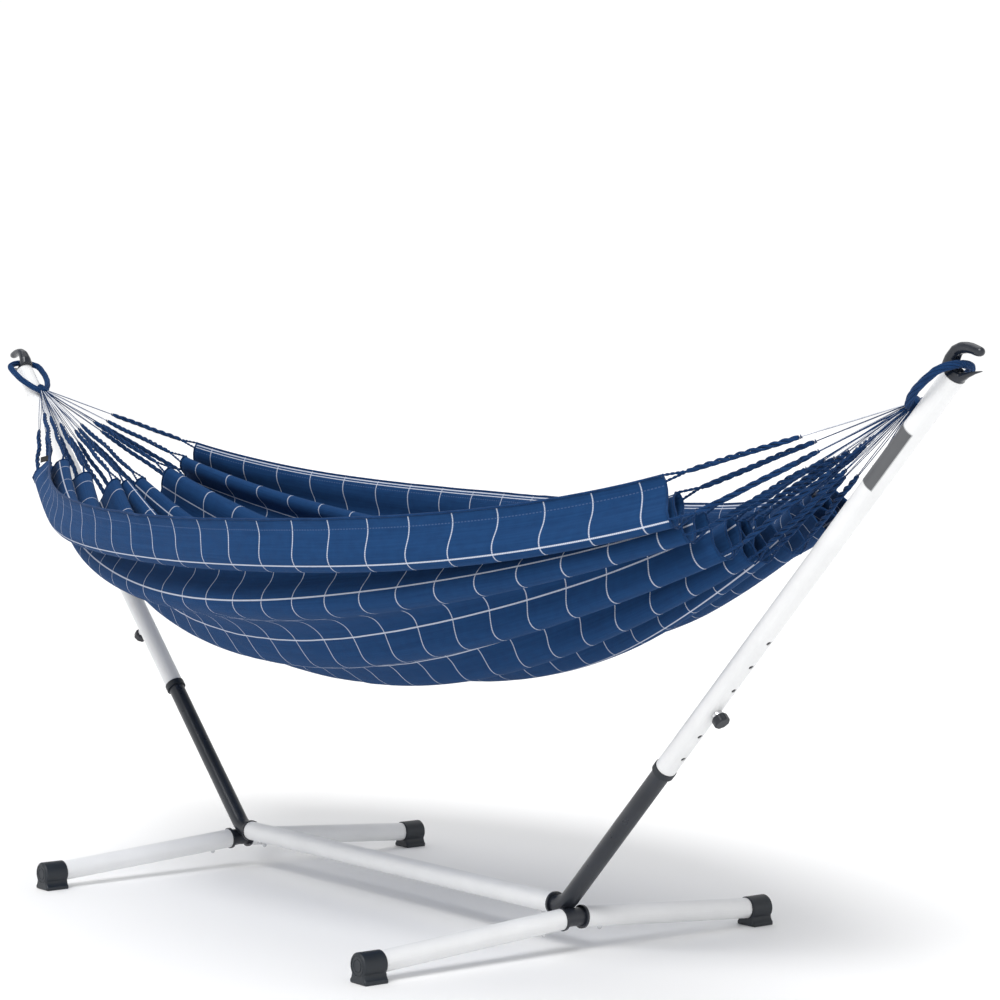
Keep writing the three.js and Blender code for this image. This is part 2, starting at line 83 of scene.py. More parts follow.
# Suspension cords: two thin strings, then a braid, then two legs
CORD_REACH = 0.590                 # swing line to the cloth's end
CORD_LENGTH = 0.452                # ring neck to the cloth's edge
CORD_START_INSIDE = 0.004          # the cords start this far inside the ring's binding
CORD_START_ACROSS = 0.0062
CORD_START_STAGGER = 0.0022
STRING_SHARE = 0.44                # of a cord that is thin string before its braid starts
STRING_SHARE_VARIES = 0.035
STRING_APART = 0.0010
STRING_BOW = 0.0016
STRING_R = 0.0008
STRING_STEPS = 14
BRAID_END_SHARE = 0.90             # after this a braid parts into two legs
BRAID_PITCH = 0.060
BRAID_PITCH_VARIES = 0.18
BRAID_STRANDS = 3
BRAID_HELIX_R = 0.0030
BRAID_STRAND_R = 0.0025
BRAID_SWAY = 0.0022
SWAY_WAVES = 9                     # radians of sway along a braid
BRAID_SLACK = 0.28
SLACK_WAVES = 3.1
BRAID_STEPS_PER_TURN = 20
KNOT_STEP = 2.4                    # radians from one cord to the next, so that no two are alike
PITCH_STEP = 1.7
SWAY_STEP = 1.3
BINDING_HALF = 0.006
BINDING_STEPS = 14
BINDING_R = 0.0030
BINDING_TURNS = 3
BINDING_YARN_R = 0.0010
LEG_HELIX_R = 0.0013
LEG_STRAND_R = 0.0016
LEG_TURNS = 2.5
LEG_STEPS = 12
LEG_INTO_CLOTH = 0.02              # share of a leg that runs into the cloth's hem

# Cloth
CLOTH_WIDTH = 1.60
CLOTH_THICK = 0.0012
PLEATS = 8
COLUMNS = 16 * 7 + 1
ROWS = 151
CURVE_SAMPLES = 2001
TILT_HALVINGS = 40
LEG_COLUMNS = 1                    # grid columns from a cord's middle to each leg's foot
END_SPREAD = math.radians(46)
MID_SPREAD = math.radians(62)
SPREAD_POWER = 2.4
CREASE_AT = 0.125                  # share of the width where the flat edge band ends in a crease
CREASE_WIDTH = 0.052
MIDDLE_FOLD = 0.24                 # depth of the middle's folds against the ends' pleats
EDGE_BAND = 0.045
EDGE_BAND_FLATTER = 0.45
END_FOLD_POWER = 1.5               # how fast the middle's folds turn into the ends' pleats
PLEAT_UNEVEN = 0.16
UNEVEN_WAVES = 2.3
UNEVEN_START = 0.13
PLEAT_DRIFT = 0.010
DRIFT_WAVES = 2.1
DRIFT_TURN = 2.0                   # radians the drift turns by from the middle to the ends
STEEPEST_TILT = 2.3                # radians, where a row meanders most
END_FADE = 0.16                    # share of the length over which the end edges are evened
CLOTH_FRAMES = 26
SIDE_HEM_R = 0.0022
END_HEM_R = 0.0020
CHECK_LENGTHWISE = 0.0886          # spacing of the pale lines that run along the hammock
CHECK_CROSSWISE = 0.0878
DOUBLE_LINE_EVERY = 6              # squares from one doubled line to the next
DOUBLE_LINE_APART = 0.0065
LENGTHWISE_LINE_HALF = 0.00150
DOUBLE_LINE_HALF = 0.00110
CROSSWISE_LINE_HALF = 0.00115
YARN_PITCH = 0.0016
SEAM_FROM_EDGE = 0.021
STITCH_PITCH = 0.0065
THREAD_HALF = 0.0007               # the sewing thread is solid to here and gone at the next
THREAD_FADED = 0.0013

# Foot shoes, label and tag
SHOE_R = 0.024
SHOE_RING_RADII = (0.0115, 0.0185)
SHOE_RING_SECTION_R = 0.0010
SHOE_RING_POINTS = 61
TUBE_R = 0.020
LABEL_FROM_END = 0.190             # the arm's end to the label's middle
LABEL_LENGTH = 0.133
LABEL_HALF_TURN = math.radians(45)
LABEL_BORDER_WIDTH = 0.0016
LABEL_STEPS = 24
BORDER_LIFT = 0.0001               # off the tube's skin
BORDER_THICK = 0.0003
FILM_LIFT = 0.0002
FILM_THICK = 0.0004
TAG_SHARE = 0.034                  # share of the cloth's length before the tag
TAG_ROWS = 4
TAG_LENGTH = 0.020
TAG_THICK = 0.0012
TAG_DIRECTION = Vector((-0.35, -0.90, -0.25))

HOOK_SEAT = Vector(JOINTS["hammock_swing"]["pos_m"])
SWING_X = abs(HOOK_SEAT.x)
SWING_Z = HOOK_SEAT.z
END_X = SWING_X - CORD_REACH * math.cos(CORD_ANGLE)
END_DROP = CORD_REACH * math.sin(CORD_ANGLE)
END_SLOPE = math.tan(CORD_ANGLE)


# ---- Materials --------------------------------------------------------------------------

class Paint:
    """A node material being put together."""

    def __init__(self, name):
        self.material = bpy.data.materials.new(name)
        self.material.use_nodes = True
        self.tree = self.material.node_tree
        self.shader = self.tree.nodes["Principled BSDF"]

    def node(self, kind, **settings):
        made = self.tree.nodes.new(kind)
        for key, value in settings.items():
            setattr(made, key, value)
        return made

    def link(self, output, target):
        self.tree.links.new(output, target)

    def value(self, socket, number):
        self.shader.inputs[socket].default_value = number

    def place(self):
        return self.node("ShaderNodeTexCoord").outputs["Object"]

    def noise(self, scale, detail=3.0, roughness=0.55, at=None):
        made = self.node("ShaderNodeTexNoise")
        made.inputs["Scale"].default_value = scale
        made.inputs["Detail"].default_value = detail
        made.inputs["Roughness"].default_value = roughness
        self.link(at or self.place(), made.inputs["Vector"])
        return made.outputs["Fac"]

    def spread(self, source, low, high, to_low=0.0, to_high=1.0):
        made = self.node("ShaderNodeMapRange")
        self.link(source, made.inputs["Value"])
        names = ("From Min", "From Max", "To Min", "To Max")
        for name, number in zip(names, (low, high, to_low, to_high)):
            made.inputs[name].default_value = number
        return made.outputs["Result"]

    def math(self, operation, a, b=None):
        made = self.node("ShaderNodeMath", operation=operation)
        for index, term in enumerate((a, b)):
            if term is None:
                continue
            if isinstance(term, (int, float)):
                made.inputs[index].default_value = term
            else:
                self.link(term, made.inputs[index])
        return made.outputs["Value"]

    def mix(self, share, colour_a, colour_b):
        made = self.node("ShaderNodeMix", data_type="RGBA")
        self.link(share, made.inputs["Factor"])
        for socket, colour in ((made.inputs[6], colour_a), (made.inputs[7], colour_b)):
            if isinstance(colour, tuple):
                socket.default_value = (*colour, 1.0)
            else:
                self.link(colour, socket)
        return made.outputs[2]

    def bump(self, height, strength, distance):
        made = self.node("ShaderNodeBump")
        made.inputs["Strength"].default_value = strength
        made.inputs["Distance"].default_value = distance
        self.link(height, made.inputs["Height"])
        self.link(made.outputs["Normal"], self.shader.inputs["Normal"])


def powder_coat(name, colour, shade, roughness):
    """Sprayed and baked paint: fine orange peel, faint clouding and slightly uneven gloss."""
    paint = Paint(name)
    cloud = paint.noise(scale=9.0, detail=4.0)
    paint.link(paint.mix(paint.spread(cloud, 0.35, 0.7), colour, shade), paint.shader.inputs["Base Color"])
    gloss = paint.spread(paint.noise(scale=38.0, detail=5.0), 0.3, 0.7, roughness - 0.05, roughness + 0.08)
    paint.link(gloss, paint.shader.inputs["Roughness"])
    peel = paint.noise(scale=520.0, detail=2.0)
    paint.bump(peel, strength=0.04, distance=0.0004)
    paint.value("Specular IOR Level", 0.5)
    return paint.material


def moulded_plastic(name, colour, shade, roughness):
    paint = Paint(name)
    grain = paint.noise(scale=1500.0, detail=2.0)
    scuff = paint.noise(scale=24.0, detail=6.0, roughness=0.7)
    paint.link(paint.mix(paint.spread(scuff, 0.4, 0.75), colour, shade), paint.shader.inputs["Base Color"])
    paint.link(paint.spread(scuff, 0.3, 0.7, roughness, roughness + 0.14), paint.shader.inputs["Roughness"])
    paint.bump(grain, strength=0.3, distance=0.0003)
    return paint.material


def cast_paint(name):
    """Dark enamel on a casting: soft waviness under a fairly glossy skin."""
    paint = Paint(name)
    wave = paint.noise(scale=60.0, detail=3.0)
    speck = paint.noise(scale=700.0, detail=2.0)
    colour = paint.mix(paint.spread(wave, 0.35, 0.7), (0.005, 0.008, 0.015), (0.010, 0.014, 0.024))
    paint.link(colour, paint.shader.inputs["Base Color"])
    paint.link(paint.spread(wave, 0.3, 0.7, 0.26, 0.40), paint.shader.inputs["Roughness"])
    both = paint.math("ADD", wave, paint.math("MULTIPLY", speck, 0.25))
    paint.bump(both, strength=0.25, distance=0.0008)
    paint.value("Specular IOR Level", 0.4)
    paint.value("Coat Weight", 0.35)
    paint.value("Coat Roughness", 0.12)
    return paint.material


def plated_steel():
    paint = Paint("plated_steel")
    haze = paint.noise(scale=180.0, detail=4.0)
    paint.link(paint.mix(haze, (0.55, 0.56, 0.58), (0.74, 0.74, 0.75)), paint.shader.inputs["Base Color"])
    paint.link(paint.spread(haze, 0.3, 0.7, 0.16, 0.34), paint.shader.inputs["Roughness"])
    paint.value("Metallic", 1.0)
    paint.bump(haze, strength=0.1, distance=0.0003)
    return paint.material


def check_line(paint, across, spacing, offset, half_width):
    """1 on a thin line that repeats along one cloth direction."""
    shifted = paint.math("ADD", across, offset)
    distance = paint.math("PINGPONG", shifted, spacing / 2)
    return paint.spread(distance, half_width * 0.7, half_width * 1.25, 1.0, 0.0)


def woven_cloth():
    """Navy cloth with a pale windowpane check; the cloth's own metres are in its UV map."""
    paint = Paint("woven_cloth")
    flat = paint.node("ShaderNodeUVMap", uv_map="cloth")
    parts = paint.node("ShaderNodeSeparateXYZ")
    paint.link(flat.outputs["UV"], parts.inputs["Vector"])
    across, along = parts.outputs["X"], parts.outputs["Y"]

    warp = paint.math("SINE", paint.math("MULTIPLY", across, 2 * math.pi / YARN_PITCH))
    weft = paint.math("SINE", paint.math("MULTIPLY", along, 2 * math.pi / YARN_PITCH))
    weave = paint.math("MULTIPLY", warp, weft)
    slub = paint.noise(scale=55.0, detail=5.0, roughness=0.6, at=flat.outputs["UV"])
    streak_place = paint.node("ShaderNodeMapping")
    streak_place.inputs["Scale"].default_value = (260.0, 6.0, 1.0)
    paint.link(flat.outputs["UV"], streak_place.inputs["Vector"])
    streak = paint.noise(scale=1.0, detail=3.0, at=streak_place.outputs["Vector"])

    tone = paint.math("ADD", paint.math("MULTIPLY", slub, 0.45), paint.math("MULTIPLY", streak, 0.55))
    navy = paint.mix(paint.spread(tone, 0.36, 0.66), (0.0062, 0.033, 0.106), (0.0120, 0.053, 0.155))
    navy = paint.mix(paint.spread(weave, -1.0, 1.0, 0.0, 0.35), navy, (0.0160, 0.066, 0.188))

    lengthwise = check_line(paint, across, CHECK_LENGTHWISE, 0.0, LENGTHWISE_LINE_HALF)
    double_spacing = CHECK_LENGTHWISE * DOUBLE_LINE_EVERY
    double = check_line(paint, across, double_spacing, DOUBLE_LINE_APART, DOUBLE_LINE_HALF)
    crosswise = check_line(paint, along, CHECK_CROSSWISE, CHECK_CROSSWISE / 2, CROSSWISE_LINE_HALF)
    along_floats = paint.math("SINE", paint.math("MULTIPLY", along, math.pi / YARN_PITCH))
    across_floats = paint.math("SINE", paint.math("MULTIPLY", across, math.pi / YARN_PITCH))
    thread_gap = paint.spread(along_floats, -1.0, 0.2, 0.62, 1.0)
    cross_gap = paint.spread(across_floats, -1.0, 0.2, 0.45, 0.85)
    lines = paint.math("MULTIPLY", paint.math("MAXIMUM", lengthwise, double), thread_gap)
    lines = paint.math("MAXIMUM", lines, paint.math("MULTIPLY", crosswise, cross_gap))
    checked = paint.mix(lines, navy, (0.60, 0.64, 0.74))

    from_edge = paint.math("PINGPONG", across, CLOTH_WIDTH / 2)
    seam = paint.math("ABSOLUTE", paint.math("SUBTRACT", from_edge, SEAM_FROM_EDGE))
    seam = paint.spread(seam, THREAD_HALF, THREAD_FADED, 1.0, 0.0)
    stitch_wave = paint.math("SINE", paint.math("MULTIPLY", along, 2 * math.pi / STITCH_PITCH))
    stitch = paint.math("GREATER_THAN", stitch_wave, -0.35)
    sewn = paint.math("MULTIPLY", seam, stitch)
    stitched = paint.mix(paint.math("MULTIPLY", sewn, 0.55), checked, (0.08, 0.13, 0.26))
    paint.link(stitched, paint.shader.inputs["Base Color"])

    paint.link(paint.spread(slub, 0.3, 0.7, 0.78, 0.92), paint.shader.inputs["Roughness"])
    paint.value("Sheen Weight", 0.05)
    paint.value("Sheen Roughness", 0.45)
    paint.shader.inputs["Sheen Tint"].default_value = (0.45, 0.62, 1.0, 1.0)
    paint.value("Specular IOR Level", 0.10)
    height = paint.math("ADD", weave, paint.math("MULTIPLY", streak, 0.8))
    height = paint.math("ADD", height, paint.math("MULTIPLY", slub, 2.0))
    height = paint.math("SUBTRACT", height, paint.math("MULTIPLY", sewn, 3.0))
    paint.bump(height, strength=0.35, distance=0.0005)
    return paint.material


def cord_yarn(name, dark, light):
    """Twisted cotton yarn: fine slanting fibres with uneven tone."""
    paint = Paint(name)
    fibre_place = paint.node("ShaderNodeMapping")
    fibre_place.inputs["Rotation"].default_value = (0.6, 0.5, 0.7)
    fibre_place.inputs["Scale"].default_value = (220.0, 1400.0, 900.0)
    paint.link(paint.place(), fibre_place.inputs["Vector"])
    fibre = paint.noise(scale=1.0, detail=3.0, at=fibre_place.outputs["Vector"])
    tone = paint.noise(scale=45.0, detail=3.0)
    both = paint.math("ADD", paint.math("MULTIPLY", fibre, 0.5), paint.math("MULTIPLY", tone, 0.5))
    paint.link(paint.mix(paint.spread(both, 0.35, 0.65), dark, light), paint.shader.inputs["Base Color"])
    paint.value("Roughness", 0.85)
    paint.value("Sheen Weight", 0.08)
    paint.value("Sheen Roughness", 0.4)
    paint.value("Specular IOR Level", 0.10)
    paint.bump(fibre, strength=0.5, distance=0.0006)
    return paint.material


def printed_label(name, dark, light):
    paint = Paint(name)
    cloud = paint.noise(scale=30.0, detail=3.0)
    paint.link(paint.mix(cloud, dark, light), paint.shader.inputs["Base Color"])
    paint.link(paint.spread(cloud, 0.3, 0.7, 0.30, 0.42), paint.shader.inputs["Roughness"])
    return paint.material


def studio_floor():
    paint = Paint("studio_floor")
    cloud = paint.noise(scale=0.8, detail=2.0)
    paint.link(paint.mix(cloud, (0.93, 0.93, 0.93), (0.95, 0.95, 0.95)), paint.shader.inputs["Base Color"])
    paint.value("Roughness", 0.7)
    return paint.material


WHITE = powder_coat("white_powder_coat", (0.82, 0.825, 0.83), (0.77, 0.775, 0.78), 0.36)
ANTHRACITE = powder_coat("anthracite_powder_coat", (0.013, 0.016, 0.023), (0.020, 0.024, 0.033), 0.30)
CAP_PLASTIC = moulded_plastic("cap_plastic", (0.008, 0.012, 0.018), (0.014, 0.019, 0.026), 0.42)
KNOB_PLASTIC = moulded_plastic("knob_plastic", (0.010, 0.012, 0.018), (0.026, 0.028, 0.034), 0.34)
HOOK_PAINT = cast_paint("hook_paint")
STEEL = plated_steel()
CLOTH = woven_cloth()
NAVY_CORD = cord_yarn("navy_cord", (0.0045, 0.024, 0.080), (0.0110, 0.048, 0.145))
PALE_CORD = cord_yarn("pale_cord", (0.34, 0.37, 0.45), (0.62, 0.65, 0.72))
LABEL_FILM = printed_label("label_film", (0.085, 0.088, 0.095), (0.105, 0.108, 0.115))
LABEL_BORDER = printed_label("label_border", (0.42, 0.43, 0.44), (0.50, 0.51, 0.52))
TAG_CLOTH = cord_yarn("tag_cloth", (0.006, 0.006, 0.007), (0.014, 0.014, 0.015))

NODE_MATERIALS = {
    "base_tube": WHITE,
    "foot_tube": WHITE,
    "upper_tube": WHITE,
    "lower_arm": ANTHRACITE,
    "cross_tube": ANTHRACITE,
    "base_flange": ANTHRACITE,
    "foot_flange": ANTHRACITE,
    "guide_collar": CAP_PLASTIC,
    "foot_cap": CAP_PLASTIC,
    "hook": HOOK_PAINT,
    "knob_head": KNOB_PLASTIC,
    "knob_stud": STEEL,
    "snap_button": STEEL,
    "end_ring": NAVY_CORD,
    "cord_fan": NAVY_CORD,
    "hammock_fabric": CLOTH,
}


def dress_nodes():
    for name, node in NODES.items():
        material = next(m for prefix, m in NODE_MATERIALS.items() if name.startswith(prefix))
        node.data.materials.clear()
        node.data.materials.append(material)


# ---- Mesh helpers -----------------------------------------------------------------------

def add_object(name, mesh):
    made = bpy.data.objects.new(name, mesh)
    bpy.context.scene.collection.objects.link(made)
    return made


def mesh_piece(name, points, faces, material, smooth=True):
    mesh = bpy.data.meshes.new(name)
    mesh.from_pydata([tuple(p) for p in points], [], faces)
    mesh.update()
    mesh.materials.append(material)
    mesh.shade_smooth() if smooth else mesh.shade_flat()
    return add_object(name, mesh)


def freeze(piece):
    """Takes the piece's modifiers into its mesh."""
    graph = bpy.context.evaluated_depsgraph_get()
    mesh = bpy.data.meshes.new_from_object(piece.evaluated_get(graph))
    piece.modifiers.clear()
    piece.data = mesh
    mesh.shade_smooth()


class Strands:
    """Closed round strands gathered into one mesh."""

    def __init__(self):
        self.points = []
        self.faces = []

    def add(self, route, radius, sides=6):
        route = np.asarray(route, float)
        tangents = np.gradient(route, axis=0)
        tangents /= np.linalg.norm(tangents, axis=1)[:, None]
        guide = np.array([0.0, 0.0, 1.0]) if abs(tangents[0][2]) < 0.9 else np.array([1.0, 0.0, 0.0])
        radii = np.broadcast_to(radius, len(route))
        start = len(self.points)
        for centre, tangent, size in zip(route, tangents, radii):
            side = guide - tangent * guide.dot(tangent)
            side /= np.linalg.norm(side)
            guide = side
            up = np.cross(tangent, side)
            for k in range(sides):
                turn = 2 * math.pi * k / sides
                self.points.append(centre + size * (math.cos(turn) * side + math.sin(turn) * up))
        for i in range(len(route) - 1):
            for k in range(sides):
                a = start + i * sides + k
                b = start + i * sides + (k + 1) % sides
                self.faces.append((a, b, b + sides, a + sides))
        last = start + (len(route) - 1) * sides
        self.faces.append(tuple(range(start + sides - 1, start - 1, -1)))
        self.faces.append(tuple(range(last, last + sides)))

    def piece(self, name, material):
        return mesh_piece(name, self.points, self.faces, material)


def twisted(route, radius, turns, phase, settle=0.0):
    """A helix of the given radius round a route; settle narrows it towards both ends."""
    route = np.asarray(route, float)
    tangents = np.gradient(route, axis=0)
    tangents /= np.linalg.norm(tangents, axis=1)[:, None]
    side = np.cross(tangents, [0.0, 1.0, 0.05])
    side /= np.linalg.norm(side, axis=1)[:, None]
    up = np.cross(tangents, side)
    share = np.linspace(0, 1, len(route))
    turn = 2 * math.pi * turns * share + phase
    size = radius * (1 - settle * (2 * share - 1) ** 8)
    return route + size[:, None] * (np.cos(turn)[:, None] * side + np.sin(turn)[:, None] * up)


# ---- Cloth ------------------------------------------------------------------------------

def thread_stations():
    """Places along the hammock at even steps of thread: x and the drop below the swing line."""
    x = np.linspace(-END_X, END_X, CURVE_SAMPLES)
    drop = END_DROP + 0.5 * END_SLOPE * END_X * (1 - (x / END_X) ** 2)
    steps = np.hypot(np.diff(x), np.diff(drop))
    run = np.concatenate([[0], np.cumsum(steps)])
    even = np.linspace(0, run[-1], ROWS)
    return np.interp(even, run, x), np.interp(even, run, drop), run[-1]


STATION_X, STATION_DROP, CLOTH_LENGTH = thread_stations()


def fold_weight(share, reach):
    """How deep the pleats are across the cloth: even at the ends, a crease inside each edge in the middle."""
    edge = np.minimum(share, 1 - share)
    crease = np.exp(-((edge - CREASE_AT) / CREASE_WIDTH) ** 2)
    middle = MIDDLE_FOLD + (1 - MIDDLE_FOLD) * crease
    ends = 1 - EDGE_BAND_FLATTER * np.exp(-(edge / EDGE_BAND) ** 2)
    at_end = reach ** END_FOLD_POWER
    uneven = 1 + PLEAT_UNEVEN * np.sin(2 * math.pi * (UNEVEN_WAVES * share + UNEVEN_START)) * reach
    return (at_end * ends + (1 - at_end) * middle) * uneven


def running_total(values):
    return np.concatenate([[0], np.cumsum((values[1:] + values[:-1]) / 2)])


def pleated_row(share, reach, width):
    """Lays one row of cloth as meanders of its true length inside the given width."""
    drift = PLEAT_DRIFT * np.sin(2 * math.pi * DRIFT_WAVES * share + DRIFT_TURN * reach) * (1 - reach)
    wave = np.sin(2 * math.pi * PLEATS * (share + drift)) * fold_weight(share, reach)
    step = CLOTH_WIDTH / (len(share) - 1)
    low, high = 0.0, STEEPEST_TILT
    # halving finds the tilt at which the row is as wide as it should be
    for _ in range(TILT_HALVINGS):
        tilt = (low + high) / 2
        covered = np.cos(tilt * wave)[1:].sum() * step
        low, high = (tilt, high) if covered > width else (low, tilt)
    run = running_total(np.cos(tilt * wave)) * step
    lift = running_total(np.sin(tilt * wave)) * step
    lift -= np.linspace(lift[0], lift[-1], len(lift))
    return run - run[-1] / 2, lift - lift.mean()


def neck_point(sign):
    x = SWING_X - RING_LENGTH * math.cos(CORD_ANGLE)
    return Vector((sign * x, 0, SWING_Z - RING_LENGTH * math.sin(CORD_ANGLE)))


def cloth_rest_shape():
    share = np.linspace(0, 1, COLUMNS)
    grid = np.zeros((COLUMNS, ROWS, 3))
    for j in range(ROWS):
        reach = abs(STATION_X[j] / END_X)
        spread = MID_SPREAD + (END_SPREAD - MID_SPREAD) * reach ** SPREAD_POWER
        run, lift = pleated_row(share, reach, 2 * spread * STATION_DROP[j])
        radius = STATION_DROP[j] + lift
        angle = run / STATION_DROP[j]
        grid[:, j, 0] = STATION_X[j]
        grid[:, j, 1] = radius * np.sin(angle)
        grid[:, j, 2] = SWING_Z - radius * np.cos(angle)
    even_cord_lengths(grid)
    return grid


def even_cord_lengths(grid):
    """Moves each end edge along X so that every point lies one cord's length from its ring's neck."""
    along = np.linspace(0, 1, ROWS)
    for end_row, sign, weight in ((0, -1, 1 - along / END_FADE), (-1, 1, 1 - (1 - along) / END_FADE)):
        neck = neck_point(sign)
        edge = grid[:, end_row]
        sideways = np.hypot(edge[:, 1] - neck.y, edge[:, 2] - neck.z)
        target = sign * (abs(neck.x) - np.sqrt(CORD_LENGTH ** 2 - sideways ** 2))
        weight = np.clip(weight, 0, 1) ** 2
        grid[:, :, 0] += (target - edge[:, 0])[:, None] * weight[None, :]


def grid_index(column, row):
    return column * ROWS + row


def cord_columns():
    return [k * (COLUMNS - 1) // (2 * PLEATS) for k in range(2 * PLEATS + 1)]


def leg_columns(column):
    near = max(column - LEG_COLUMNS, 0)
    far = min(column + LEG_COLUMNS, COLUMNS - 1)
    return near, far


def build_cloth():
    grid = cloth_rest_shape()
    faces = [(grid_index(i, j), grid_index(i + 1, j), grid_index(i + 1, j + 1), grid_index(i, j + 1))
             for i in range(COLUMNS - 1) for j in range(ROWS - 1)]
    cloth = mesh_piece("hammock_cloth", grid.reshape(-1, 3), faces, CLOTH)
    layer = cloth.data.uv_layers.new(name="cloth")
    columns, rows = np.divmod([loop.vertex_index for loop in cloth.data.loops], ROWS)
    flat = np.stack([columns / (COLUMNS - 1) * CLOTH_WIDTH, rows / (ROWS - 1) * CLOTH_LENGTH], axis=1)
    layer.data.foreach_set("uv", flat.astype(np.float32).ravel())
    return cloth


def let_cloth_settle(cloth):
    """Blender's cloth, held at the cords' feet."""
    held = cloth.vertex_groups.new(name="held")
    pins = [grid_index(leg, row) for column in cord_columns() for leg in leg_columns(column)
            for row in (0, ROWS - 1)]
    held.add(pins, 1.0, "REPLACE")
    cloth_modifier = cloth.modifiers.new("settle", "CLOTH")
    settings = cloth_modifier.settings
    settings.quality = 6
    settings.mass = 0.00004
    settings.air_damping = 1.5
    settings.tension_stiffness = 60
    settings.compression_stiffness = 12
    settings.shear_stiffness = 5
    settings.bending_stiffness = 0.25
    settings.tension_damping = 5
    settings.compression_damping = 5
    settings.shear_damping = 5
    settings.bending_damping = 0.5
    settings.vertex_group_mass = "held"
    cloth_modifier.collision_settings.use_collision = False
    cloth_modifier.point_cache.frame_start = 1
    cloth_modifier.point_cache.frame_end = CLOTH_FRAMES + 1
    for step in range(1, CLOTH_FRAMES + 1):
        bpy.context.scene.frame_set(step)
    freeze(cloth)
    bpy.context.scene.frame_set(1)


def cloth_grid(cloth):
    points = np.empty(len(cloth.data.vertices) * 3)
    cloth.data.vertices.foreach_get("co", points)
    return points.reshape(COLUMNS, ROWS, 3)


def finish_cloth(cloth):
    smooth = cloth.modifiers.new("smooth", "SUBSURF")
    smooth.levels = 1
    smooth.render_levels = 1
    thick = cloth.modifiers.new("thick", "SOLIDIFY")
    thick.thickness = CLOTH_THICK
    thick.offset = 0
    freeze(cloth)
    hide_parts("hammock_fabric")


def rolled_hems(grid):
    """Rolled hems along both long edges and sewn casings along both ends."""
    hems = Strands()
    for column in (0, COLUMNS - 1):
        hems.add(grid[column], SIDE_HEM_R, sides=8)
    for row in (0, ROWS - 1):
        hems.add(grid[:, row], END_HEM_R, sides=8)
    piece = hems.piece("hammock_hem", NAVY_CORD)
    return piece


def join_ends(piece):
    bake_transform(piece)


# ---- Cords, braids and rings ------------------------------------------------------------

def straight(a, b, count):
    share = np.linspace(0, 1, count)[:, None]
    return np.asarray(a)[None, :] * (1 - share) + np.asarray(b)[None, :] * share


def down_cord(sign):
    """The direction from a hook down to the cloth."""
    return np.array([-sign * math.cos(CORD_ANGLE), 0.0, -math.sin(CORD_ANGLE)])


def add_strings(navy, pale, number, start, knot, aside):
    bow = np.sin(np.linspace(0, math.pi, STRING_STEPS))[:, None]
    for side in (-1, 1):
        string = straight(start, knot, STRING_STEPS)
        string = string + side * (STRING_APART + STRING_BOW * bow) * aside[None, :]
        strands = pale if (number + 2 * (side > 0)) % 4 == 0 else navy
        strands.add(string, STRING_R)


def add_braid(navy, number, knot, parting, aside):
    """Strands twisted round each other, swaying a little and no two cords alike."""
    length = np.linalg.norm(parting - knot)
    turns = length / (BRAID_PITCH * (1 + BRAID_PITCH_VARIES * math.sin(PITCH_STEP * number)))
    middle = straight(knot, parting, int(turns * BRAID_STEPS_PER_TURN))
    share = np.linspace(0, 1, len(middle))
    sway = BRAID_SWAY * np.sin(math.pi * share) * np.sin(SWAY_WAVES * share + SWAY_STEP * number)
    middle = middle + sway[:, None] * aside[None, :]
    for k in range(BRAID_STRANDS):
        slack = 1 + BRAID_SLACK * np.sin(2 * math.pi * (SLACK_WAVES * share + k / BRAID_STRANDS) + number)
        phase = 2 * math.pi * k / BRAID_STRANDS + number
        navy.add(twisted(middle, BRAID_HELIX_R * slack, turns, phase, settle=0.5), BRAID_STRAND_R, sides=7)


def add_binding(navy, knot, along):
    binding = straight(knot - along * BINDING_HALF, knot + along * BINDING_HALF, BINDING_STEPS)
    navy.add(twisted(binding, BINDING_R, BINDING_TURNS, 0), BINDING_YARN_R)


def add_legs(navy, parting, feet):
    for foot in feet:
        leg = straight(parting, foot + (foot - parting) * LEG_INTO_CLOTH, LEG_STEPS)
        for phase in (0, math.pi):
            navy.add(twisted(leg, LEG_HELIX_R, LEG_TURNS, phase), LEG_STRAND_R)


def build_cords(grid, end, sign):
    """Thin string pairs from the ring, each ending in a braid that parts into two legs at the cloth."""
    navy = Strands()
    pale = Strands()
    row = 0 if sign < 0 else ROWS - 1
    neck = np.array(neck_point(sign)) - down_cord(sign) * CORD_START_INSIDE
    columns = cord_columns()
    for number, column in enumerate(columns):
        feet = [grid[leg, row] for leg in leg_columns(column)]
        fan_share = 2 * number / (len(columns) - 1) - 1
        stagger = CORD_START_STAGGER * (-1) ** number
        start = neck + np.array([0, CORD_START_ACROSS * fan_share, stagger])
        reach = sum(feet) / 2 - start
        along = reach / np.linalg.norm(reach)
        aside = np.cross(reach, [0, 0, 1.0])
        aside /= np.linalg.norm(aside)
        knot_share = STRING_SHARE + STRING_SHARE_VARIES * math.sin(KNOT_STEP * number)
        knot = start + reach * knot_share
        parting = start + reach * BRAID_END_SHARE
        add_strings(navy, pale, number, start, knot, aside)
        add_braid(navy, number, knot, parting, aside)
        add_binding(navy, knot, along)
        add_legs(navy, parting, feet)
    for strands, material, tone in ((navy, NAVY_CORD, "navy"), (pale, PALE_CORD, "pale")):
        piece = strands.piece(f"cords_{tone}_{end}", material)
        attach(piece, f"hammock_{end}")
        if tone == "navy":
            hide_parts(f"cord_fan_{end}")


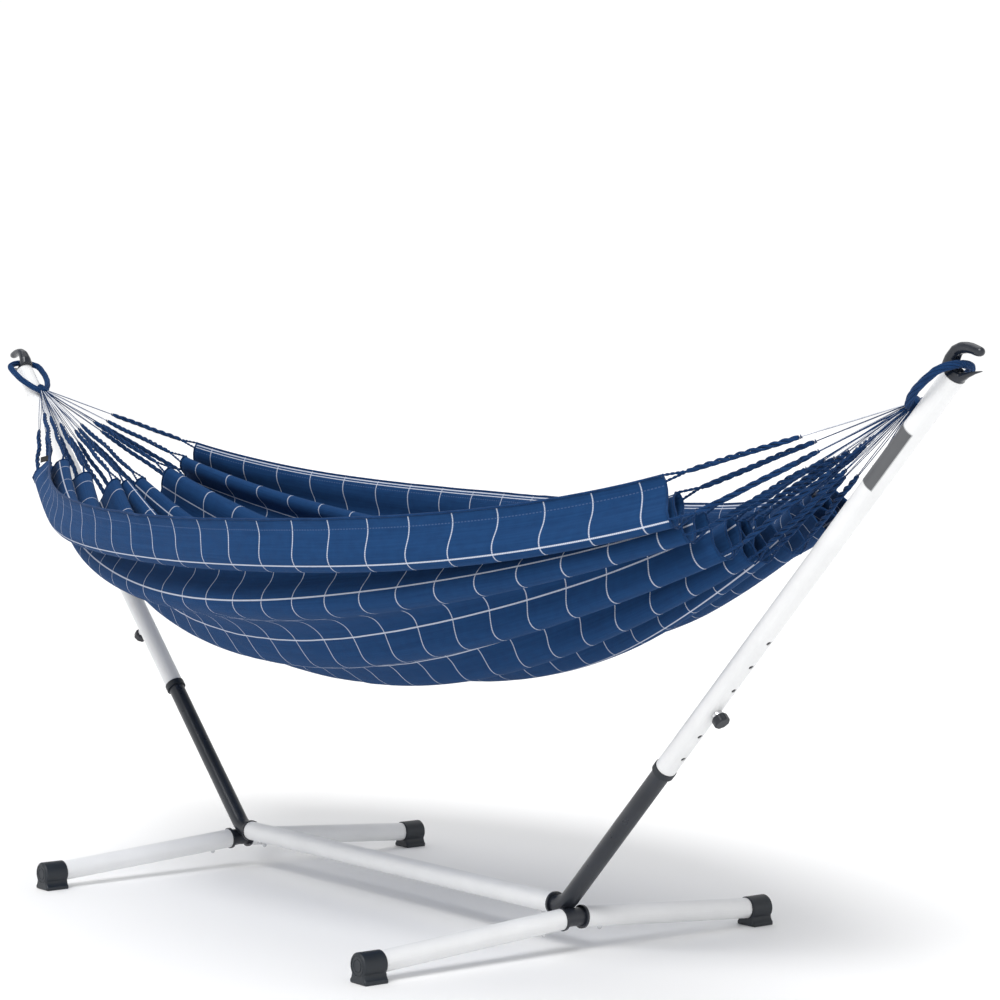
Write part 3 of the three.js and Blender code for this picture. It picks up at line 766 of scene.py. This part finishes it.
def ring_route(sign):
    """The loop from the neck through the hook and back."""
    along_way = []
    bow_steps, leg_steps = 16, 22
    for i in range(bow_steps + 1):
        turn = math.pi * i / (2 * bow_steps)
        along_way.append((RING_BOW_ALONG * (1 - math.cos(turn)), RING_BOW_ACROSS * math.sin(turn)))
    for i in range(1, leg_steps + 1):
        t = i / leg_steps
        along = RING_BOW_ALONG + (RING_LENGTH - RING_BOW_ALONG) * t
        across = RING_BOW_ACROSS + (RING_NECK_HALF - RING_BOW_ACROSS) * t ** RING_TAPER_POWER
        along_way.append((along, across))
    both = [(a, -b) for a, b in reversed(along_way[1:])] + along_way
    seat = np.array([sign * SWING_X, 0.0, SWING_Z])
    return np.array([seat + down_cord(sign) * a + np.array([0, b, 0]) for a, b in both])


def build_ring(end, sign):
    """A bundle of cords bent into a loop and whipped tightly at its neck."""
    route = ring_route(sign)
    ring = Strands()
    ring.add(route, RING_CORE_R, sides=10)
    for k in range(RING_STRANDS):
        phase = 2 * math.pi * k / RING_STRANDS
        ring.add(twisted(route, RING_HELIX_R, RING_TURNS, phase), RING_STRAND_R, sides=7)
    seat = np.array([sign * SWING_X, 0.0, SWING_Z])
    bind_start = seat + down_cord(sign) * (RING_LENGTH - NECK_BIND_LENGTH)
    bind_end = seat + down_cord(sign) * (RING_LENGTH + NECK_BIND_PAST)
    ring.add(straight(bind_start, bind_end, 6), NECK_BIND_R, sides=12)
    whipping = straight(bind_start, bind_end, NECK_BIND_STEPS)
    ring.add(twisted(whipping, WHIPPING_R, NECK_BIND_TURNS, 0.0), BIND_YARN_R)
    piece = ring.piece(f"ring_{end}", NAVY_CORD)
    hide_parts(f"end_ring_{end}")
    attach(piece, f"hammock_{end}")


# ---- Castings, label and tag ------------------------------------------------------------

def melted(node_name, piece_name, body, material, voxel, passes):
    """The CAD shape with its corners melted together, as on a casting or a moulding."""
    piece = add_object(piece_name, NODES[node_name].data.copy())
    melt = piece.modifiers.new("melt", "REMESH")
    melt.mode = "VOXEL"
    melt.voxel_size = voxel
    soften = piece.modifiers.new("soften", "SMOOTH")
    soften.factor = 0.5
    soften.iterations = passes
    freeze(piece)
    piece.data.materials.clear()
    piece.data.materials.append(material)
    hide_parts(node_name)
    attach(piece, body)


def shoe_rings(side, end):
    """Moulded rings on the end face of a foot shoe."""
    low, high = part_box(f"foot_cap_{side}_{end}")
    face = low[1] if side == "front" else high[1]
    centre = np.array([(low[0] + high[0]) / 2, face, high[2] - SHOE_R])
    turn = np.linspace(0, 2 * math.pi, SHOE_RING_POINTS)
    rings = Strands()
    for radius in SHOE_RING_RADII:
        circle = np.stack([np.cos(turn), np.zeros(SHOE_RING_POINTS), np.sin(turn)], axis=1)
        rings.add(centre + radius * circle, SHOE_RING_SECTION_R, sides=8)
    piece = rings.piece(f"shoe_rings_{side}_{end}", CAP_PLASTIC)
    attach(piece, "root")


def build_castings(end):
    melted(f"hook_{end}", f"hook_cast_{end}", f"upper_arm_{end}", HOOK_PAINT,
           voxel=0.0011, passes=9)
    melted(f"knob_head_{end}", f"knob_grip_{end}", f"knob_{end}", KNOB_PLASTIC,
           voxel=0.0007, passes=4)
    for side in ("front", "back"):
        melted(f"foot_cap_{side}_{end}", f"foot_shoe_{side}_{end}", "root", CAP_PLASTIC,
               voxel=0.0010, passes=3)
        shoe_rings(side, end)


def arm_skin():
    """A function that gives a point on the right arm's skin, counted from the arm's upper end."""
    along = Vector(JOINTS["arm_right_slide"]["axis"]).normalized()
    under = Vector((along.z, 0, -along.x))
    high = Vector(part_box("upper_tube_right")[1])
    # the box's far sides touch the end's rim, one radius off the tube's axis
    end = Vector((high.x - TUBE_R * along.z, 0, high.z - TUBE_R * along.x))

    def skin(from_end, turn, lift):
        out = math.cos(turn) * Vector((0, -1, 0)) + math.sin(turn) * under
        return end - along * from_end + out * (TUBE_R + lift)
    return skin


def curved_patch(name, skin, start, length, half_turn, lift, thick, material):
    """A closed thin shell bent round the tube."""
    points, faces = [], []
    for height in (lift, lift + thick):
        for from_end in (start, start + length):
            for i in range(LABEL_STEPS + 1):
                points.append(skin(from_end, half_turn * (2 * i / LABEL_STEPS - 1), height))
    row = LABEL_STEPS + 1
    for i in range(LABEL_STEPS):
        faces.append((i, i + row, i + row + 1, i + 1))
        faces.append((2 * row + i, 2 * row + i + 1, 3 * row + i + 1, 3 * row + i))
        faces.append((i, i + 1, 2 * row + i + 1, 2 * row + i))
        faces.append((row + i, 3 * row + i, 3 * row + i + 1, row + i + 1))
    faces.append((0, 2 * row, 3 * row, row))
    faces.append((row - 1, 2 * row - 1, 4 * row - 1, 3 * row - 1))
    piece = mesh_piece(name, points, faces, material, smooth=False)
    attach(piece, "upper_arm_right")


def build_label():
    """A blank dark label with a thin pale border, on the right upper arm's front side."""
    skin = arm_skin()
    start = LABEL_FROM_END - LABEL_LENGTH / 2
    curved_patch("label_border", skin, start, LABEL_LENGTH, LABEL_HALF_TURN, BORDER_LIFT, BORDER_THICK,
                 LABEL_BORDER)
    inner_start = start + LABEL_BORDER_WIDTH
    inner_length = LABEL_LENGTH - 2 * LABEL_BORDER_WIDTH
    inner_turn = LABEL_HALF_TURN - LABEL_BORDER_WIDTH / TUBE_R
    curved_patch("label_film", skin, inner_start, inner_length, inner_turn, FILM_LIFT, FILM_THICK,
                 LABEL_FILM)


def build_tag(grid):
    """A small blank tag sewn into the front hem near the left end, standing out from the cloth."""
    row = round(TAG_SHARE * (ROWS - 1))
    edge = [Vector(grid[0, j]) for j in range(row, row + TAG_ROWS)]
    out = TAG_DIRECTION.normalized()
    side = out.cross(edge[-1] - edge[0]).normalized() * TAG_THICK / 2
    points, faces = [], []
    for place in edge:
        for reach in (0.0, TAG_LENGTH):
            points.extend([place + out * reach - side, place + out * reach + side])
    for k in range(len(edge) - 1):
        a, b = 4 * k, 4 * (k + 1)
        faces += [(a, a + 2, b + 2, b), (a + 1, b + 1, b + 3, a + 3)]
        faces += [(a + 2, a + 3, b + 3, b + 2), (a, b, b + 1, a + 1)]
    last = 4 * (len(edge) - 1)
    faces += [(0, 1, 3, 2), (last, last + 2, last + 3, last + 1)]
    piece = mesh_piece("hammock_tag", points, faces, TAG_CLOTH, smooth=False)
    return piece


# ---- Stage ------------------------------------------------------------------------------

FLOOR_HALF = 30.0


def build_stage():
    corners = ((-1, -1), (1, -1), (1, 1), (-1, 1))
    points = [(x * FLOOR_HALF, y * FLOOR_HALF, 0) for x, y in corners]
    floor = mesh_piece("floor", points, [(0, 1, 2, 3)], studio_floor(), smooth=False)


def aim(thing, target):
    thing.rotation_euler = (Vector(target) - thing.location).to_track_quat("-Z", "Y").to_euler()


def add_sun(name, towards_light, width, strength):
    """A soft light, equally strong everywhere; its width is in degrees."""
    light = bpy.data.lights.new(name, "SUN")
    light.energy = strength
    light.angle = math.radians(width)
    made = bpy.data.objects.new(name, light)
    made.location = towards_light
    bpy.context.scene.collection.objects.link(made)
    aim(made, (0, 0, 0))


def build_world():
    """White round the horizon, dimmer overhead, so that round shapes keep their shading."""
    world = bpy.data.worlds.new("studio")
    bpy.context.scene.world = world
    world.use_nodes = True
    tree = world.node_tree
    background = tree.nodes["Background"]
    background.inputs["Color"].default_value = (1.0, 1.0, 1.0, 1.0)
    place = tree.nodes.new("ShaderNodeTexCoord")
    parts = tree.nodes.new("ShaderNodeSeparateXYZ")
    height = tree.nodes.new("ShaderNodeMapRange")
    for name, number in (("From Min", 0.22), ("From Max", 0.60), ("To Min", 1.03), ("To Max", 0.50)):
        height.inputs[name].default_value = number
    tree.links.new(place.outputs["Generated"], parts.inputs["Vector"])
    tree.links.new(parts.outputs["Z"], height.inputs["Value"])
    tree.links.new(height.outputs["Result"], background.inputs["Strength"])


def build_light():
    build_world()
    add_sun("key", towards_light=(1.6, -3.0, 4.6), width=30, strength=1.95)
    add_sun("top", towards_light=(-1.4, 0.8, 4.6), width=50, strength=0.75)
    bpy.context.scene.view_settings.view_transform = "Standard"


CAMERA_TARGET = (0.365, 0.0, 0.838)
CAMERA_AZIMUTH = math.radians(53.2)
CAMERA_ELEVATION = math.radians(2.68)
CAMERA_DISTANCE = 5.677
CAMERA_LENS = 106.56


def build_camera():
    camera = bpy.data.cameras.new("camera")
    camera.sensor_width = 36
    camera.lens = CAMERA_LENS
    made = bpy.data.objects.new("camera", camera)
    level = math.cos(CAMERA_ELEVATION)
    side = Vector((math.sin(CAMERA_AZIMUTH), -math.cos(CAMERA_AZIMUTH), 0))
    away = side * level + Vector((0, 0, math.sin(CAMERA_ELEVATION)))
    made.location = Vector(CAMERA_TARGET) + away * CAMERA_DISTANCE
    bpy.context.scene.collection.objects.link(made)
    aim(made, CAMERA_TARGET)
    bpy.context.scene.camera = made


# ---- The scene --------------------------------------------------------------------------

build_camera()
build_light()
build_stage()
dress_nodes()

cloth = build_cloth()
let_cloth_settle(cloth)
grid = cloth_grid(cloth)
for end, sign in ENDS:
    build_cords(grid, end, sign)
    build_ring(end, sign)
    build_castings(end)
hem = rolled_hems(grid)
tag = build_tag(grid)
build_label()
finish_cloth(cloth)
for piece in (cloth, hem, tag):
    join_ends(piece)
